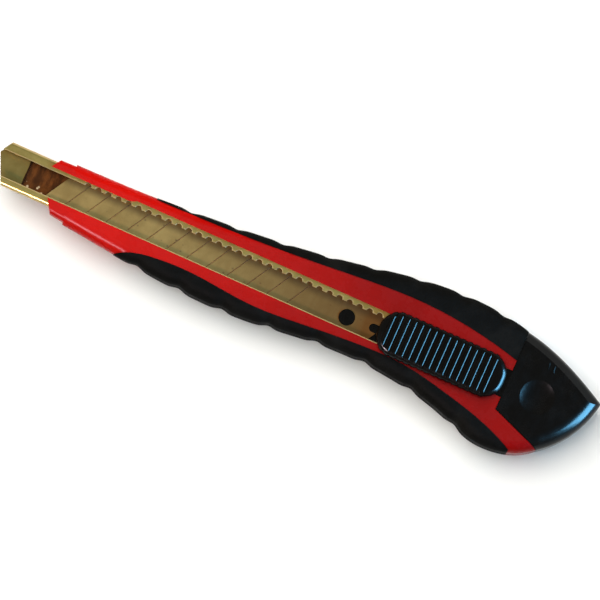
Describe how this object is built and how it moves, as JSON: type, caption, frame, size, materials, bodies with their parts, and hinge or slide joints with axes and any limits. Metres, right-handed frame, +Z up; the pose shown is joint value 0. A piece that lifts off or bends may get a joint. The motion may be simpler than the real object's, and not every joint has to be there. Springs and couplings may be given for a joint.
{
  "type": "utility knife",
  "caption": "Snap-off utility knife with a curved two-part grip, an open steel blade channel with lock teeth, a ribbed thumb slider and a pointed pull-off tail cap.",
  "frame": {"origin": "centre of the knife's footprint, on the surface its flat back lies on", "axes": "X runs from the channel's mouth to the tail cap, Y across the face towards the toothed lip, Z up out of the face that has the thumb slider"},
  "size_m": [0.1482, 0.0298, 0.0152],
  "materials": {
    "hard_shell": "satin red moulded plastic",
    "soft_grip": "matte black soft rubber",
    "channel_steel": "folded plated steel sheet with a warm tone",
    "blade_steel": "ground carbon steel",
    "black_plastic": "semi-gloss black moulded plastic",
    "cap_plastic": "semi-gloss black moulded plastic",
    "spring_steel": "bare spring steel"
  },
  "bodies": {
    "handle": {"handle_core": "hard_shell", "upper_grip": "soft_grip", "lower_grip": "soft_grip", "blade_channel": "channel_steel"},
    "carriage": {"thumb_slider": "black_plastic", "blade_holder": "black_plastic", "lock_spring": "spring_steel", "blade": "blade_steel"},
    "tail_cap": {"end_cap": "cap_plastic"}
  },
  "joints": [
    {"name": "blade_slide", "type": "slide", "parent": "handle", "child": "carriage", "axis": [-1, 0, 0], "range_m": [0, 0.075], "deforming": ["lock_spring"]},
    {"name": "cap_pull", "type": "slide", "parent": "handle", "child": "tail_cap", "axis": [1, 0, 0], "range_m": [0, 0.028]}
  ]
}
